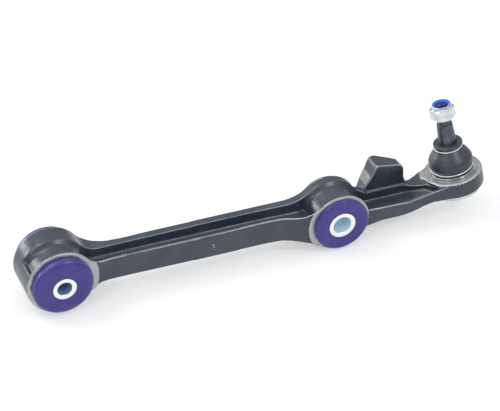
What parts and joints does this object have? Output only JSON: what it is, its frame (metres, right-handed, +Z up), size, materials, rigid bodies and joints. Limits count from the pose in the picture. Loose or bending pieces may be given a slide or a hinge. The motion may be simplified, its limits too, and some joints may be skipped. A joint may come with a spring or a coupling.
{
  "type": "suspension control arm",
  "caption": "Forged lower control arm with an H-section beam, two flanged polyurethane bushes, a stop lug and a ball joint with rubber boot, taper stud and locknut.",
  "frame": {"origin": "centre of the inner bush, where its bolt axis crosses its mid-plane", "axes": "+X from the inner bush towards the ball joint, +Y along the bush bolts to the rear, +Z up, the side that the ball stud leaves"},
  "size_m": [0.4796, 0.0648, 0.1232],
  "materials": {
    "arm_coating": "semi-matt dark blue-grey coating over rough forged steel, bare turned faces at the eyes and the boss",
    "polyurethane": "smooth violet-blue polyurethane with a soft gloss",
    "sleeve_zinc": "bright zinc plating",
    "housing_zinc": "turned steel, satin zinc plating",
    "spring_steel": "oiled spring steel",
    "seat_acetal": "white acetal, greased",
    "ring_zinc_yellow": "zinc plating with a yellowish passivation",
    "stud_phosphate": "dark grey phosphated steel",
    "boot_rubber": "smooth moulded rubber, satin",
    "clip_wire": "plated round wire",
    "nut_zinc": "bright zinc plating",
    "nylon_blue": "blue polyamide"
  },
  "bodies": {
    "arm": {"forged_arm": "arm_coating", "inner_bush_front": "polyurethane", "inner_bush_rear": "polyurethane", "damper_bush_front": "polyurethane", "damper_bush_rear": "polyurethane", "ball_joint_housing": "housing_zinc", "ball_joint_cover": "housing_zinc", "preload_disc_spring": "spring_steel", "ball_seat_lower": "seat_acetal", "ball_seat_upper": "seat_acetal", "retaining_circlip": "ring_zinc_yellow", "boot_lower_clip": "clip_wire"},
    "inner_sleeve": {"inner_bush_sleeve": "sleeve_zinc"},
    "damper_sleeve": {"damper_bush_sleeve": "sleeve_zinc"},
    "boot": {"dust_boot": "boot_rubber"},
    "boot_collar": {"boot_upper_clip": "clip_wire"},
    "stud": {"ball_stud": "stud_phosphate", "locknut": "nut_zinc", "locknut_insert": "nylon_blue"}
  },
  "joints": [
    {"name": "inner_sleeve_spin", "type": "hinge", "parent": "arm", "child": "inner_sleeve", "pos_m": [0, 0, 0], "axis": [0, 1, 0], "continuous": true},
    {"name": "damper_sleeve_spin", "type": "hinge", "parent": "arm", "child": "damper_sleeve", "pos_m": [0.282, -0.0086, 0], "axis": [0, 1, 0], "continuous": true},
    {"name": "stud_swing", "type": "hinge", "parent": "arm", "child": "boot", "pos_m": [0.41549, -0.00246, 0.00864], "axis": [0.0275, 0.9883, -0.1497], "range_deg": [-22, 22], "deforming": ["dust_boot"]},
    {"name": "stud_tilt", "type": "hinge", "parent": "boot", "child": "boot_collar", "pos_m": [0.41549, -0.00246, 0.00864], "axis": [0.9836, 0, 0.1805], "range_deg": [-16, 16]},
    {"name": "stud_spin", "type": "hinge", "parent": "boot_collar", "child": "stud", "pos_m": [0.41549, -0.00246, 0.00864], "axis": [-0.1784, 0.1522, 0.9721], "continuous": true}
  ]
}
